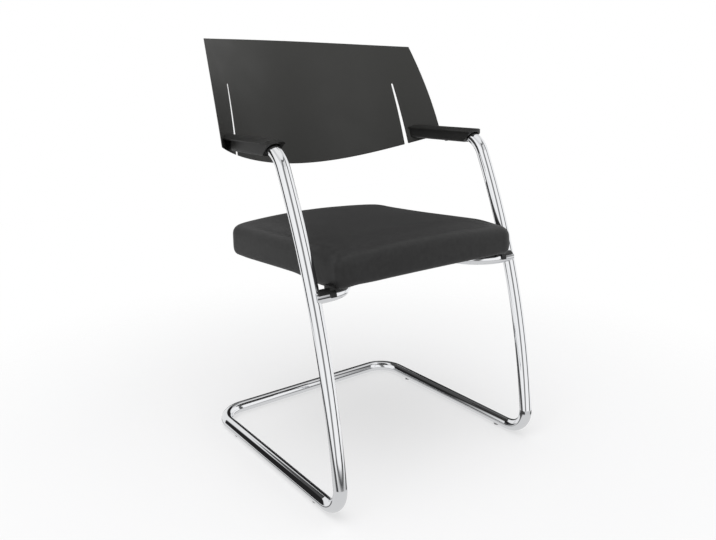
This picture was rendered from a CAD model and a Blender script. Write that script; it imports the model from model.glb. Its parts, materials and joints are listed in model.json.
# %% [markdown]
# # A cantilever chair in Blender
# The chair is a bent chromed tube, a padded black seat and a thin curved black back. Its hard
# pieces come from a CAD model, so this lesson is about what CAD leaves out: how chrome, moulded
# plastic and woven cloth look, how a cushion swells, and how a studio is lit for shiny tubes.

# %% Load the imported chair
import json
import math

import bmesh
import bpy
import numpy as np
from mathutils import Matrix, Vector


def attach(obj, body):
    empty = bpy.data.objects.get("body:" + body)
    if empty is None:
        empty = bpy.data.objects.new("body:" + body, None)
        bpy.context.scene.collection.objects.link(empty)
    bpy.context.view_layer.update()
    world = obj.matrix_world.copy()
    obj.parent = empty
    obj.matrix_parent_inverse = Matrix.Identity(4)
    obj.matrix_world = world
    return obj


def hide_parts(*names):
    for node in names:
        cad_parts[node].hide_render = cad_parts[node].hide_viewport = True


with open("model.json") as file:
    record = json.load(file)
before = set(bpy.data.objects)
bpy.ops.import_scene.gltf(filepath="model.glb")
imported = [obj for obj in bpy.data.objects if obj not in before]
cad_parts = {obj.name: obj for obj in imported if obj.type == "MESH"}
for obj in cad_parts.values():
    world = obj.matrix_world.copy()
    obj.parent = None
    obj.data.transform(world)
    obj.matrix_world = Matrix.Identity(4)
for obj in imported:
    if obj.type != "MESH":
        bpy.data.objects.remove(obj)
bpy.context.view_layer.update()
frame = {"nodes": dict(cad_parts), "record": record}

MM = 0.001

# %% [markdown]
# The camera comes first. It stands in front of the chair's left side, a little above the armrests,
# and looks slightly down. Its place was worked out from the frame: the two uprights are alike and
# the runners are parallel, which leaves one position from which they look as they do.

# %% Camera
CAMERA_AT = Vector((-846.8, -1098.7, 742.6)) * MM
CAMERA_DOWN = 15.335
CAMERA_TURN = 37.18
PICTURE_WIDTH = 716
FOCAL_PIXELS = 679.08
SENSOR_WIDTH = 36

camera = bpy.data.objects.new("camera", bpy.data.cameras.new("camera"))
bpy.context.scene.collection.objects.link(camera)
camera.location = CAMERA_AT
camera.rotation_euler = (math.radians(90 - CAMERA_DOWN), 0, math.radians(-CAMERA_TURN))
camera.data.sensor_fit = "HORIZONTAL"
camera.data.sensor_width = SENSOR_WIDTH
camera.data.lens = FOCAL_PIXELS * SENSOR_WIDTH / PICTURE_WIDTH
bpy.context.scene.camera = camera
print("lens", round(camera.data.lens, 2), "mm")

# %% [markdown]
# Colours are easiest to read as the hex values of a paint chip, but a shader wants linear light, so
# one function turns one into the other, with the numbers of the sRGB standard. A second small
# function adds a shader node, with its settings and the sockets that feed it, and that is all that
# the materials below need.

# %% Colour and node helpers
def linear(hex_colour):
    """The linear RGBA value of an sRGB hex colour such as #1C1C1B."""
    parts = [int(hex_colour[i : i + 2], 16) / 255 for i in (1, 3, 5)]
    return [c / 12.92 if c < 0.04045 else ((c + 0.055) / 1.055) ** 2.4 for c in parts] + [1.0]


def add_node(tree, kind, links=None, settings=None, values=None):
    """A shader node with its settings, its fixed input values and the sockets that feed it."""
    node = tree.nodes.new("ShaderNode" + kind)
    for name, value in (settings or {}).items():
        setattr(node, name, value)
    for name, value in (values or {}).items():
        node.inputs[name].default_value = value
    for name, socket in (links or {}).items():
        tree.links.new(socket, node.inputs[name])
    return node


# %% [markdown]
# A material starts from one Principled surface with its fixed values. Where a texture is linked to
# a socket later, the value set here stays as the finish's mean. Patterns use the object's own
# coordinates in metres, so their scale follows from a real size in millimetres.

# %% Material helpers
def new_material(name, **surface):
    """A material, its node tree, its Principled surface and its object coordinates."""
    material = bpy.data.materials.new(name)
    material.use_nodes = True
    tree = material.node_tree
    shader = tree.nodes["Principled BSDF"]
    for socket, value in surface.items():
        shader.inputs[socket.replace("_", " ")].default_value = value
    place = add_node(tree, "TexCoord").outputs["Object"]
    return material, tree, shader, place


def ramp_stops(ramp, stops):
    """Sets a colour ramp to these stops: a position with a linear colour or a grey level."""
    elements = ramp.color_ramp.elements
    while len(elements) > 1:
        elements.remove(elements[-1])
    for index, (position, tone) in enumerate(stops):
        stop = elements[0] if index == 0 else elements.new(position)
        stop.position = position
        stop.color = tone if isinstance(tone, list) else (tone, tone, tone, 1)


def waves_per_metre(millimetres):
    """Texture scale at which a noise or cell feature is this many millimetres across."""
    return 1 / (millimetres * MM)


# %% [markdown]
# Chrome plate is a mirror with a cold, slightly dark tone. What the eye reads as chrome is the room
# in it: bright panels with thin dark lines between them. So the finish itself stays simple. It is
# fully metallic and very smooth, and only a faint change of roughness, as from wiping, keeps it from
# looking computed.

# %% Chrome plated steel tube
WIPE_MM = 45

chrome, tree, shader, place = new_material(
    "chrome_plated_steel", Base_Color=linear("#E6E7E9"), Metallic=1.0, Roughness=0.035
)
wipes = add_node(
    tree, "TexNoise", {"Vector": place}, values={"Scale": waves_per_metre(WIPE_MM), "Detail": 4}
)
wiped = add_node(
    tree,
    "MapRange",
    {"Value": wipes.outputs["Fac"]},
    values={"From Min": 0.35, "From Max": 0.75, "To Min": 0.02, "To Max": 0.06},
)
tree.links.new(wiped.outputs["Result"], shader.inputs["Roughness"])
print("made", chrome.name)

# %% [markdown]
# The back is injection moulded polypropylene, and the armrests and small fittings are moulded nylon,
# all coloured black in the mass. The glides are grey polyethylene. The moulds are spark eroded, so
# the surface has a fine dry grain that breaks up reflections: the highlight is broad and weak, and
# the plastic looks dark grey rather than black. The grain is about 0.3 mm on the real part. It is
# drawn at 0.9 mm here, because a finer one would vanish between pixels. The flow of the melt leaves
# a slow change of gloss.

# %% Moulded plastics
GRAIN_MM = 0.9
FLOW_MM = 70
SMOOTHER, ROUGHER = 0.04, 0.05


def moulded_plastic(name, colour, roughness, grain_height):
    """Moulded plastic with an eroded grain of this height in millimetres and patches of gloss."""
    material, tree, shader, place = new_material(
        name, Base_Color=linear(colour), Roughness=roughness, IOR=1.49
    )
    grain = add_node(
        tree, "TexNoise", {"Vector": place}, values={"Scale": waves_per_metre(GRAIN_MM), "Detail": 2}
    )
    bump = add_node(
        tree,
        "Bump",
        {"Height": grain.outputs["Fac"]},
        values={"Strength": 0.35, "Distance": grain_height * MM},
    )
    flow = add_node(
        tree, "TexNoise", {"Vector": place}, values={"Scale": waves_per_metre(FLOW_MM), "Detail": 3}
    )
    gloss = add_node(
        tree,
        "MapRange",
        {"Value": flow.outputs["Fac"]},
        values={
            "From Min": 0.3,
            "From Max": 0.7,
            "To Min": roughness - SMOOTHER,
            "To Max": roughness + ROUGHER,
        },
    )
    tree.links.new(gloss.outputs["Result"], shader.inputs["Roughness"])
    tree.links.new(bump.outputs["Normal"], shader.inputs["Normal"])
    return material


shell_plastic = moulded_plastic("black_polypropylene_shell", "#2D2D2B", 0.5, 0.12)
arm_plastic = moulded_plastic("black_nylon_armrest", "#1E1E1D", 0.46, 0.12)
small_plastic = moulded_plastic("black_nylon_fittings", "#141414", 0.4, 0.08)
glide_plastic = moulded_plastic("grey_polyethylene_glide", "#8A8B8C", 0.4, 0.08)
print("made", shell_plastic.name, arm_plastic.name, small_plastic.name, glide_plastic.name)

# %% [markdown]
# The seat is covered in close woven black polyester. Its threads lie about 0.7 mm apart, too fine to
# show from across a room, so they are drawn 1.4 mm apart. Three sine waves along the three axes are
# added up: on a flat side of the cushion only two of them change, and they make an over and under
# weave without any unwrapping. Loose fibres on the threads catch light at grazing angles, which is
# what sheen is for. Yarns take up dye unevenly, so the shade changes softly over some 9 mm.

# %% Woven upholstery cloth
THREAD_MM = 1.4
WEAVE_HEIGHT_MM = 0.08
YARN_SHADE_MM = 9

cloth, tree, shader, place = new_material(
    "black_woven_polyester",
    Base_Color=linear("#2A2A2A"),
    Roughness=0.5,
    Specular_IOR_Level=0.25,
    Sheen_Weight=0.04,
    Sheen_Roughness=0.45,
)
thread = add_node(
    tree,
    "VectorMath",
    {0: place},
    {"operation": "SCALE"},
    {"Scale": 2 * math.pi * waves_per_metre(THREAD_MM)},
)
axes = add_node(tree, "SeparateXYZ", {"Vector": thread.outputs[0]})
waves = [
    add_node(tree, "Math", {0: axes.outputs[axis]}, {"operation": "SINE"}).outputs[0]
    for axis in "XYZ"
]
pair = add_node(tree, "Math", {0: waves[0], 1: waves[1]}, {"operation": "ADD"}).outputs[0]
weave = add_node(tree, "Math", {0: pair, 1: waves[2]}, {"operation": "ADD"}).outputs[0]
weave_bump = add_node(
    tree, "Bump", {"Height": weave}, values={"Strength": 0.25, "Distance": WEAVE_HEIGHT_MM * MM}
)
shade = add_node(
    tree,
    "TexNoise",
    {"Vector": place},
    values={"Scale": waves_per_metre(YARN_SHADE_MM), "Detail": 6},
)
dyed = add_node(tree, "ValToRGB", {"Fac": shade.outputs["Fac"]})
ramp_stops(dyed, [(0.3, linear("#272727")), (0.7, linear("#2E2E2E"))])
tree.links.new(dyed.outputs["Color"], shader.inputs["Base Color"])
tree.links.new(weave_bump.outputs["Normal"], shader.inputs["Normal"])
print("made", cloth.name)

# %% [markdown]
# The pan below the seat is plywood with a black stain, through which the grain shows as a slightly
# lighter brown. Grain is noise that is stretched along the sheet and pressed together across its
# plies.

# %% Stained plywood
GRAIN_ACROSS_MM = 2.5
GRAIN_STRETCH = (1.0, 0.06, 8.0)

plywood, tree, shader, place = new_material("black_stained_plywood", Roughness=0.6)
stretched = add_node(tree, "Mapping", {"Vector": place}, values={"Scale": GRAIN_STRETCH})
fibres = add_node(
    tree,
    "TexNoise",
    {"Vector": stretched.outputs[0]},
    values={"Scale": waves_per_metre(GRAIN_ACROSS_MM), "Detail": 6},
)
wood_tone = add_node(tree, "ValToRGB", {"Fac": fibres.outputs["Fac"]})
ramp_stops(wood_tone, [(0, linear("#1A1816")), (1, linear("#2E2A26"))])
tree.links.new(wood_tone.outputs["Color"], shader.inputs["Base Color"])
print("made", plywood.name)

# %% [markdown]
# The foam inside the cover is yellowish polyurethane with open cells, which a cell texture darkens
# towards their middles.

# %% Seat foam
CELL_MM = 1.2

foam, tree, shader, place = new_material("polyurethane_foam", Roughness=0.95)
cells = add_node(
    tree, "TexVoronoi", {"Vector": place}, values={"Scale": waves_per_metre(CELL_MM)}
)
foam_tone = add_node(tree, "ValToRGB", {"Fac": cells.outputs["Distance"]})
ramp_stops(foam_tone, [(0, linear("#B9AE8C")), (1, linear("#DCD3B4"))])
tree.links.new(foam_tone.outputs["Color"], shader.inputs["Base Color"])
print("made", foam.name)

# %% [markdown]
# Screws, washers, tee nuts and staples are steel, zinc plated or with a black oxide skin. A plating
# bath leaves small cloudy patches, which is all that shows on such small pieces.

# %% Fastener steel
CLOUD_MM = 3


def fastener_steel(name, dark, light, roughness, metallic):
    """Plated or blackened steel, cloudy between these two tones."""
    material, tree, shader, place = new_material(name, Roughness=roughness, Metallic=metallic)
    clouds = add_node(
        tree, "TexNoise", {"Vector": place}, values={"Scale": waves_per_metre(CLOUD_MM), "Detail": 4}
    )
    tone = add_node(tree, "ValToRGB", {"Fac": clouds.outputs["Fac"]})
    ramp_stops(tone, [(0, linear(dark)), (1, linear(light))])
    tree.links.new(tone.outputs["Color"], shader.inputs["Base Color"])
    return material


zinc_steel = fastener_steel("zinc_plated_steel", "#9EA2A3", "#C4C8C9", 0.32, 1.0)
black_steel = fastener_steel("black_oxide_steel", "#161617", "#242425", 0.38, 0.6)
print("made", zinc_steel.name, black_steel.name)

# %% [markdown]
# Every CAD piece keeps its shape and gets the finish that its entry in the parts list asks for.

# %% Dress the CAD pieces
finish_of_slot = {
    "chrome": chrome,
    "shell_plastic": shell_plastic,
    "arm_plastic": arm_plastic,
    "black_plastic": small_plastic,
    "glide_plastic": glide_plastic,
    "upholstery": cloth,
    "plywood": plywood,
    "foam": foam,
    "zinc_steel": zinc_steel,
    "black_steel": black_steel,
}
pieces = frame["record"]["subparts"]
for piece in pieces:
    for slot in frame["nodes"][piece["node"]].material_slots:
        slot.material = finish_of_slot[piece["material_slot"]]
print("dressed", len(pieces), "pieces")

# %% [markdown]
# The cushion is built as a grid for its top and rings for its sides, in the seat's own frame: x
# across, y from front to back, z up from the carrier tube's centre line. Its measures come first.
# They start from those of the CAD cover, which has the plain form of the seat, and were then
# matched to the photograph. So the sides stand out a little more, the corners are tighter, the rear
# is higher, the front falls off more, and the lower edge hangs and sags as cloth over foam does.

# %% Cushion measures, in millimetres, degrees and shares of the depth or half width
SEAT_AT = Vector((0, -186.37, 393.6))
SEAT_TILT = 3.15

# Outline: front edge, depth, half widths, and corner radii, which shrink with the inset
FRONT_Y, DEPTH = -39.1, 418.0
HALF_FRONT, HALF_REAR = 215.0, 209.5
CORNER_FRONT, CORNER_REAR, CORNER_LEAST = 20.0, 13.0, 4.0
CORNER_SHRINK = 0.75

# Side: the pan's underside, the cover's thickness, the edge of the top, the roll over that edge,
# the place below which the side draws in, the hem, and the hang of the lower edge below the hem
PAN_Z, COVER = 20.0, 1.2
HEM_Z = PAN_Z - COVER
EDGE_Z, ROLL = PAN_Z + 57.0, 16.0
WIDEST_Z, DRAW_IN = PAN_Z + 11.0, 8.0
HEM, EDGE_HANG = 22.0, 1.3

# Top: its crown, higher and a little flatter at the rear, and its fall over the front edge
CROWN, REAR_CROWN, REAR_FROM = 11.0, 18.3, 0.55
FLATNESS, REAR_FLATNESS = 2.0, 2.2
WATERFALL, FALL_FROM, FALL_TO = 11.0, -0.04, 0.22

# Hem: it sags at the sides, just behind the front corners
CORNER_SAG = 8.0
SAG_SIDE = (0.8, 0.96)
SAG_START = (-0.01, 0.08)
SAG_END = (0.18, 0.42)

# Mesh: it starts smaller, to leave room for the swell
START_SMALLER = 1.5
CELLS = 52
ROLL_STEPS, SIDE_STEPS, LOW_STEPS = 5, 4, 3
HEM_SHARES = (0.05, 0.33, 0.66, 1.0)
TINY = 1e-9

to_room = (
    Matrix.Translation(SEAT_AT * MM)
    @ Matrix.Rotation(math.radians(-SEAT_TILT), 4, "X")
    @ Matrix.Scale(MM, 4)
)
print("cushion", 2 * HALF_FRONT, "x", DEPTH, "mm")

# %% [markdown]
# A square grid is turned into the cushion's outline by rounding it more towards the rim. Two more
# functions give the height of the top and of the hem at a place in the plan.

# %% Shape of the cushion
def smooth_step(low, high, value):
    """0 below low, 1 above high and a smooth ramp between."""
    t = min(max((value - low) / (high - low), 0), 1)
    return t * t * (3 - 2 * t)


def plan_point(u, v, inset):
    """The point of the cushion's plan, inset by this much, for a point of the square grid."""
    rim = max(abs(u), abs(v))
    share = (v + 1) / 2
    half_x = HALF_FRONT + (HALF_REAR - HALF_FRONT) * share - inset
    half_y = DEPTH / 2 - inset
    corner = CORNER_FRONT + (CORNER_REAR - CORNER_FRONT) * share
    corner = max(corner - inset * CORNER_SHRINK, CORNER_LEAST) * rim**3
    x, y = u * half_x, v * half_y
    inner_x = max(half_x * rim - corner, 0)
    inner_y = max(half_y * rim - corner, 0)
    near_x = min(max(x, -inner_x), inner_x)
    near_y = min(max(y, -inner_y), inner_y)
    away = Vector((x - near_x, y - near_y))
    if away.length > TINY and corner > 0:
        away = away.normalized() * corner
    return near_x + away.x, near_y + away.y + FRONT_Y + DEPTH / 2


def top_z(x, y):
    """Height of the cushion's top before it rolls over its edge."""
    along = (y - FRONT_Y) / DEPTH
    across = min(abs(x) / (HALF_FRONT + ROLL), 1)
    rear = smooth_step(REAR_FROM, 1, along)
    crown = CROWN * (1 - rear) + REAR_CROWN * rear
    flatness = FLATNESS * (1 - rear) + REAR_FLATNESS * rear
    front_fall = WATERFALL * (1 - smooth_step(FALL_FROM, FALL_TO, along))
    return EDGE_Z + crown * (1 - across**flatness) - front_fall


def hem_z(x, y):
    """Height of the stapled hem, where the cover hangs lower just behind the front corners."""
    along = (y - FRONT_Y) / DEPTH
    at_side = smooth_step(*SAG_SIDE, abs(x) / HALF_FRONT)
    behind_corner = smooth_step(*SAG_START, along) * (1 - smooth_step(*SAG_END, along))
    return HEM_Z - CORNER_SAG * at_side * behind_corner


print("top in the middle", round(top_z(0, FRONT_Y + DEPTH / 2), 1), "mm above the carrier")

# %% [markdown]
# Below the top's rim, rings roll over the edge, run down the side, draw in round the foam's lower
# edge and turn under the seat as the stapled hem. There the foam presses the cover a little below
# the pan. Such a clean grid swells evenly and needs no remeshing.

# %% Cushion grid and rings
def cushion_rings():
    """Each ring's inset, the part of the side that it is in, and how far through that part."""
    quarter = math.pi / 2
    rings = []
    for step in range(1, ROLL_STEPS + 1):
        angle = quarter * step / ROLL_STEPS
        rings.append((ROLL * (1 - math.sin(angle)), "roll", 1 - math.cos(angle)))
    for step in range(1, SIDE_STEPS + 1):
        rings.append((0, "side", step / SIDE_STEPS))
    for step in range(1, LOW_STEPS + 1):
        angle = quarter * step / LOW_STEPS
        rings.append((DRAW_IN * (1 - math.cos(angle)), "low", math.sin(angle)))
    return rings + [(DRAW_IN + HEM * share, "hem", share) for share in HEM_SHARES]


def ring_z(part, through, x, y):
    """Height of a ring's point at this place in the plan."""
    top = top_z(x, y) - START_SMALLER
    if part == "roll":
        return top - ROLL * through
    if part == "side":
        return (top - ROLL) * (1 - through) + WIDEST_Z * through
    if part == "low":
        return WIDEST_Z + (hem_z(x, y) - EDGE_HANG - WIDEST_Z) * through
    return hem_z(x, y) - EDGE_HANG * (1 - through)


def build_cushion():
    """The cushion's skin of quads, open below inside its hem, with the hem's points pinned."""
    mesh = bmesh.new()
    layer = {}
    for i in range(CELLS + 1):
        for j in range(CELLS + 1):
            x, y = plan_point(2 * i / CELLS - 1, 2 * j / CELLS - 1, ROLL + START_SMALLER)
            layer[i, j] = mesh.verts.new((x, y, top_z(x, y) - START_SMALLER))
    for i in range(CELLS):
        for j in range(CELLS):
            mesh.faces.new((layer[i, j], layer[i + 1, j], layer[i + 1, j + 1], layer[i, j + 1]))
    rim = [(i, 0) for i in range(CELLS)] + [(CELLS, j) for j in range(CELLS)]
    rim += [(CELLS - i, CELLS) for i in range(CELLS)] + [(0, CELLS - j) for j in range(CELLS)]
    above = [layer[cell] for cell in rim]
    pinned = []
    for inset, part, through in cushion_rings():
        ring = []
        for i, j in rim:
            x, y = plan_point(2 * i / CELLS - 1, 2 * j / CELLS - 1, inset + START_SMALLER)
            ring.append(mesh.verts.new((x, y, ring_z(part, through, x, y))))
        if part == "hem":
            pinned += ring
        for k in range(len(ring)):
            follow = (k + 1) % len(ring)
            mesh.faces.new((above[k], ring[k], ring[follow], above[follow]))
        above = ring
    mesh.verts.index_update()
    pinned_at = [vertex.index for vertex in pinned]
    mesh.transform(to_room)
    data = bpy.data.meshes.new("seat_cushion_cover")
    mesh.normal_update()
    mesh.to_mesh(data)
    mesh.free()
    cushion = bpy.data.objects.new("seat_cushion_cover", data)
    bpy.context.scene.collection.objects.link(cushion)
    cushion.vertex_groups.new(name="pinned").add(pinned_at, 1.0, "REPLACE")
    data.materials.append(cloth)
    return cushion


cushion = build_cushion()
print("cushion grid", len(cushion.data.vertices), "points")

# %% [markdown]
# Cloth simulation with a little air pressure inside gives the skin the tight, even swell of fabric
# over foam: the sides bow out between the corners and the top fills. The stapled hem is pinned.

# %% Run the cloth
CLOTH_SETTINGS = {
    "quality": 6,
    "mass": 0.3,
    "tension_stiffness": 25,
    "compression_stiffness": 25,
    "bending_stiffness": 2,
    "use_pressure": True,
    "uniform_pressure_force": 4.0,
    "vertex_group_mass": "pinned",
}
FRAMES = 20


def apply_modifier(piece, name):
    """Makes a modifier's result the piece's mesh."""
    bpy.ops.object.select_all(action="DESELECT")
    piece.select_set(True)
    bpy.context.view_layer.objects.active = piece
    bpy.ops.object.modifier_apply(modifier=name)


def blow_up(piece):
    """Runs the cloth for all its frames and makes the last one the piece's mesh."""
    settings = piece.modifiers.new("cloth", "CLOTH").settings
    for name, value in CLOTH_SETTINGS.items():
        setattr(settings, name, value)
    settings.effector_weights.gravity = 0
    scene = bpy.context.scene
    scene.frame_start, scene.frame_end = 1, FRAMES
    for frame_number in range(1, FRAMES + 1):
        scene.frame_set(frame_number)
    apply_modifier(piece, "cloth")
    scene.frame_set(1)


print("cloth runs for", FRAMES, "frames")

# %% [markdown]
# Foam lets the skin move out but not in, so inward moves are taken off. No point may move further
# than a cap, so the cushion stays the size that it was measured to be, and each move is averaged
# with its neighbours' moves, as foam spreads a pull.

# %% Swell the cushion
SWELL_CAP_MM = 5.0
SMOOTHINGS = 6


def coordinates(mesh):
    """A mesh's points as an array."""
    points = np.zeros(len(mesh.vertices) * 3)
    mesh.vertices.foreach_get("co", points)
    return points.reshape(-1, 3)


def spread(moves, mesh):
    """Each point's move, averaged again and again with the moves of its neighbours."""
    ends = np.zeros(len(mesh.edges) * 2, dtype=int)
    mesh.edges.foreach_get("vertices", ends)
    ends = ends.reshape(-1, 2)
    neighbours = np.bincount(ends.ravel(), minlength=len(moves))[:, None]
    for _ in range(SMOOTHINGS):
        around = np.zeros_like(moves)
        np.add.at(around, ends[:, 0], moves[ends[:, 1]])
        np.add.at(around, ends[:, 1], moves[ends[:, 0]])
        moves = (moves + around / neighbours) / 2
    return moves


def swell(piece):
    """Swells the piece within the cap and returns how far it would have swollen, in metres."""
    start = coordinates(piece.data)
    outward = np.zeros(start.size)
    piece.data.vertex_normals.foreach_get("vector", outward)
    outward = outward.reshape(-1, 3)
    blow_up(piece)
    moved = coordinates(piece.data) - start
    moved -= np.minimum((moved * outward).sum(axis=1, keepdims=True), 0) * outward
    length = np.linalg.norm(moved, axis=1, keepdims=True)
    cap = SWELL_CAP_MM * MM
    capped = moved * (cap * np.tanh(length / cap) / np.maximum(length, TINY))
    piece.data.vertices.foreach_set("co", (start + spread(capped, piece.data)).ravel())
    piece.data.update()
    return float(length.max())


print("free swell", round(swell(cushion) / MM, 1), "mm")

# %% [markdown]
# One subdivision rounds off the grid. A thickness turned inward makes the skin a real sheet of
# cloth, with the foam behind it, and the hem's open rim gets its cut edge.

# %% Subdivide and thicken the cover
subdivide = cushion.modifiers.new("smooth", "SUBSURF")
subdivide.levels = subdivide.render_levels = 1
apply_modifier(cushion, "smooth")
thicken = cushion.modifiers.new("cloth_thickness", "SOLIDIFY")
thicken.thickness = COVER * MM
thicken.offset = -1
apply_modifier(cushion, "cloth_thickness")
for polygon in cushion.data.polygons:
    polygon.use_smooth = True
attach(cushion, "root")
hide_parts("seat_cover", "seat_foam")
points = coordinates(cushion.data)
print("cushion", points.min(0).round(4), points.max(0).round(4))

# %% [markdown]
# The studio is a pale floor under an even white sky. Matt pieces are lit by that sky and one large
# lamp above. Chrome needs more: photographers stand bright panels around it and leave gaps, which
# draw the dark lines along a tube. So rays that leave a glossy surface see a room of panels with
# dark posts between them. The room needs two numbers for each direction: its heading around the
# compass and its height. The heading is sheared, so the posts lean a little to the right, as light
# stands do that are pulled in over a product.

# %% World: heading and height of a direction
LEAN = 0.3

world = bpy.data.worlds.new("studio")
bpy.context.scene.world = world
world.use_nodes = True
tree = world.node_tree
tree.nodes.clear()
place = add_node(tree, "TexCoord").outputs["Generated"]
direction = add_node(tree, "SeparateXYZ", {"Vector": place})
upright_x = add_node(
    tree,
    "Math",
    {0: direction.outputs["Z"], 2: direction.outputs["X"]},
    {"operation": "MULTIPLY_ADD"},
    {1: -LEAN},
)
heading = add_node(
    tree, "Math", {0: upright_x.outputs[0], 1: direction.outputs["Y"]}, {"operation": "ARCTAN2"}
)
turn = add_node(
    tree,
    "Math",
    {0: heading.outputs[0]},
    {"operation": "MULTIPLY_ADD"},
    {1: 1 / (2 * math.pi), 2: 0.5},
)
height = add_node(tree, "Math", {0: direction.outputs["Z"]}, {"operation": "ARCSINE"})
rise = add_node(
    tree, "Math", {0: height.outputs[0]}, {"operation": "MULTIPLY_ADD"}, {1: 1 / math.pi, 2: 0.5}
)
print("posts lean", LEAN, "to the right")

# %% [markdown]
# The room is a stack of bands from the floor to the ceiling, each with its own levels around the
# compass. The panel behind the chair is framed by two posts and a rail, which close over it as a
# dark arch. The skirting draws the thin dark lines low on the tubes, and the pale floor lights their
# undersides.

# %% Bands of the room
# The height in degrees where each band ends, then its level at headings in degrees, where 0 is
# straight back and 90 is to the right
BANDS = {
    "floor": (-28, [(0, 0.74)]),
    "skirting": (
        -23,
        [(-130, 0.7), (-124, 0.06), (48, 0.06), (54, 0.8), (72, 0.8), (78, 0.06)]
        + [(122, 0.06), (128, 0.7)],
    ),
    "foot of the walls": (
        -19.5,
        [(-130, 0.7), (-124, 1.05), (-52, 1.05), (-34, 0.85), (44, 0.85), (56, 1.05)]
        + [(122, 1.05), (128, 0.7)],
    ),
    "sill": (
        -17,
        [(-130, 0.06), (-124, 1.05), (-52, 1.05), (-34, 0.95), (44, 0.95), (56, 1.05)]
        + [(122, 1.05), (128, 0.06)],
    ),
    "walls": (
        39.5,
        [(-152, 1.08), (-142, 0.22), (-129, 0.22), (-119, 1.1), (-100, 1.1), (-57, 1.02)]
        + [(-52, 0.02), (-35, 0.02), (-30, 0.93), (15, 0.93), (19, 0.02), (51, 0.02)]
        + [(57, 1.0), (75, 1.0), (105, 1.08), (127, 1.08), (135, 0.03), (146, 0.03)]
        + [(154, 1.08)],
    ),
    "upper walls": (
        55,
        [(-152, 0.85), (-142, 0.2), (-129, 0.2), (-119, 0.8), (-66, 0.75), (-60, 0.08)]
        + [(14, 0.08), (19, 0.3), (50, 0.3), (56, 0.75), (125, 0.8), (134, 0.08)]
        + [(146, 0.08), (156, 0.85)],
    ),
    "picture rail": (
        60,
        [(-132, 0.12), (-122, 0.85), (-66, 0.75), (-60, 0.07), (14, 0.07), (22, 0.5)]
        + [(60, 0.8), (124, 0.85), (136, 0.12)],
    ),
    "cornice": (65, [(-66, 0.95), (-60, 0.08), (14, 0.08), (22, 0.9)]),
    "ceiling": (90, [(-34, 1.0), (-28, 0.12), (8, 0.12), (14, 1.0)]),
}
print("studio bands", ", ".join(BANDS))

# %% [markdown]
# Each band is one ramp around the compass times one ramp that is white only at the band's height.
# Adding them up gives the whole room, with soft edges between the bands.

# %% Stack the bands
def heading_stop(degrees):
    """Place of a heading on a ramp that runs once around the compass."""
    return degrees / 360 + 0.5


def height_stop(degrees):
    """Place of a height on a ramp that runs from straight down to straight up."""
    return degrees / 180 + 0.5


LOWEST, HIGHEST = -90, 90
BAND_BLUR = 2.0
room_light = None
band_low = LOWEST
for band_top, levels in BANDS.values():
    around = add_node(tree, "ValToRGB", {"Fac": turn.outputs[0]})
    ramp_stops(around, [(heading_stop(degrees), level) for degrees, level in levels])
    edges = []
    if band_low > LOWEST:
        edges += [(band_low - BAND_BLUR / 2, 0), (band_low + BAND_BLUR / 2, 1)]
    if band_top < HIGHEST:
        edges += [(band_top - BAND_BLUR / 2, 1), (band_top + BAND_BLUR / 2, 0)]
    inside = add_node(tree, "ValToRGB", {"Fac": rise.outputs[0]})
    ramp_stops(inside, [(height_stop(degrees), level) for degrees, level in edges])
    links = {0: around.outputs["Color"], 1: inside.outputs["Color"]}
    if room_light:
        links[2] = room_light
    room_light = add_node(tree, "VectorMath", links, {"operation": "MULTIPLY_ADD"}).outputs[0]
    band_low = band_top
print("stacked", len(BANDS), "bands")

# %% [markdown]
# The kind of ray decides what the world shows. The camera, and rays that pass through something,
# see plain white. Glossy rays see the room. All other rays gather light from the even sky, which is
# kept at a level at which a colour renders about as it is written.

# %% World shader
SKY_LEVEL = 0.60
WHITE = (1, 1, 1, 1)

ray = add_node(tree, "LightPath")
seen = add_node(
    tree,
    "Math",
    {0: ray.outputs["Is Camera Ray"], 1: ray.outputs["Is Transmission Ray"]},
    {"operation": "MAXIMUM"},
)
sky = add_node(tree, "Background", values={"Color": WHITE, "Strength": SKY_LEVEL})
backdrop = add_node(tree, "Background", values={"Color": WHITE, "Strength": 1.0})
room = add_node(tree, "Background", {"Color": room_light}, values={"Strength": 1.0})
lit = add_node(
    tree,
    "MixShader",
    {"Fac": ray.outputs["Is Glossy Ray"], 1: sky.outputs[0], 2: room.outputs[0]},
)
shown = add_node(
    tree, "MixShader", {"Fac": seen.outputs[0], 1: lit.outputs[0], 2: backdrop.outputs[0]}
)
add_node(tree, "OutputWorld", {"Surface": shown.outputs[0]})
print("sky level", SKY_LEVEL)

# %% [markdown]
# The floor is a sheet of pale paint. It fades out around the chair, so it meets the white
# background without an edge, and its middle carries the chair's soft shadow. A share of plain
# white, which only the camera sees, thins the shadow, as the bright exposure of a cut-out picture
# does. Chrome doesn't see the floor itself, because the room's lowest band stands for it.

# %% Floor
FLOOR_HALF = 3.0
FADE_FROM, FADE_TO = 0.45, 1.3
WHITE_SHARE = 0.5

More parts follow.
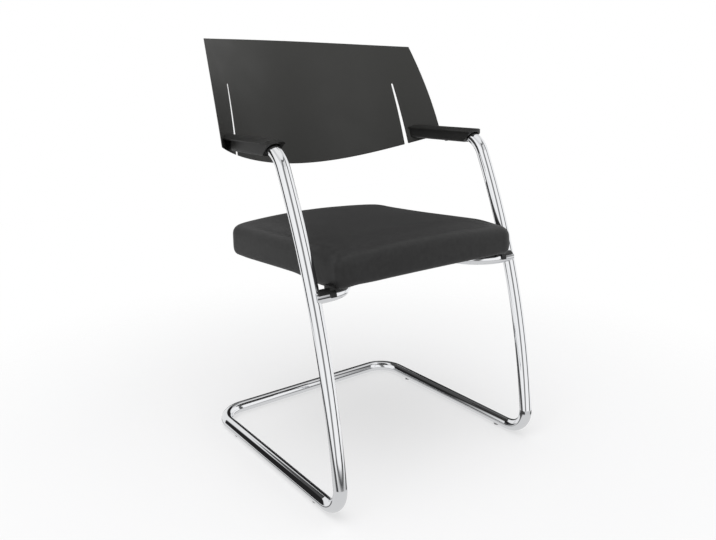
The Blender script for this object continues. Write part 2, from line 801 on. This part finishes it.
floor_mesh = bpy.data.meshes.new("studio_floor")
floor_mesh.from_pydata(
    [(x * FLOOR_HALF, y * FLOOR_HALF, 0) for x, y in ((-1, -1), (1, -1), (1, 1), (-1, 1))],
    [],
    [(0, 1, 2, 3)],
)
floor = bpy.data.objects.new("studio_floor", floor_mesh)
bpy.context.scene.collection.objects.link(floor)
floor.visible_glossy = False
paint, tree, shader, place = new_material(
    "pale_floor_paint", Base_Color=linear("#FAFAFB"), Roughness=0.9, Specular_IOR_Level=0.0
)
reach = add_node(tree, "VectorMath", {0: place}, {"operation": "LENGTH"})
fade = add_node(
    tree,
    "MapRange",
    {"Value": reach.outputs["Value"]},
    {"interpolation_type": "SMOOTHSTEP"},
    {"From Min": FADE_FROM, "From Max": FADE_TO, "To Min": 1.0, "To Max": 0.0},
)
tree.links.new(fade.outputs["Result"], shader.inputs["Alpha"])
ray = add_node(tree, "LightPath")
white_part = add_node(
    tree, "Math", {0: ray.outputs["Is Camera Ray"]}, {"operation": "MULTIPLY"}, {1: WHITE_SHARE}
)
white = add_node(tree, "Emission", values={"Color": WHITE, "Strength": 1.0})
thinned = add_node(
    tree,
    "MixShader",
    {"Fac": white_part.outputs[0], 1: shader.outputs["BSDF"], 2: white.outputs[0]},
)
tree.links.new(thinned.outputs[0], tree.nodes["Material Output"].inputs["Surface"])
floor_mesh.materials.append(paint)
print("floor fades out from", FADE_FROM, "to", FADE_TO, "m")

# %% [markdown]
# One large soft lamp hangs high, a little in front of the chair and to its left. It makes tops
# lighter than sides, so the seat's edge reads, and it is hidden from reflections, where the panels
# take its place.

# %% Lamp
LAMP_SIZE = 2.6
LAMP_WATTS = 45
LAMP_AT = Vector((-0.5, -0.5, 3.0))
LAMP_AIM = Vector((0, 0, 0.4))

lamp = bpy.data.objects.new("soft_top_lamp", bpy.data.lights.new("soft_top_lamp", "AREA"))
bpy.context.scene.collection.objects.link(lamp)
lamp.data.shape = "SQUARE"
lamp.data.size = LAMP_SIZE
lamp.data.energy = LAMP_WATTS
lamp.location = LAMP_AT
lamp.rotation_euler = (LAMP_AIM - LAMP_AT).to_track_quat("-Z", "Y").to_euler()
lamp.visible_glossy = False
print("lamp", LAMP_WATTS, "W")

# %% [markdown]
# The Standard view shows each colour as the shader gives it.

# %% View, sizes and the end
bpy.context.scene.view_settings.view_transform = "Standard"
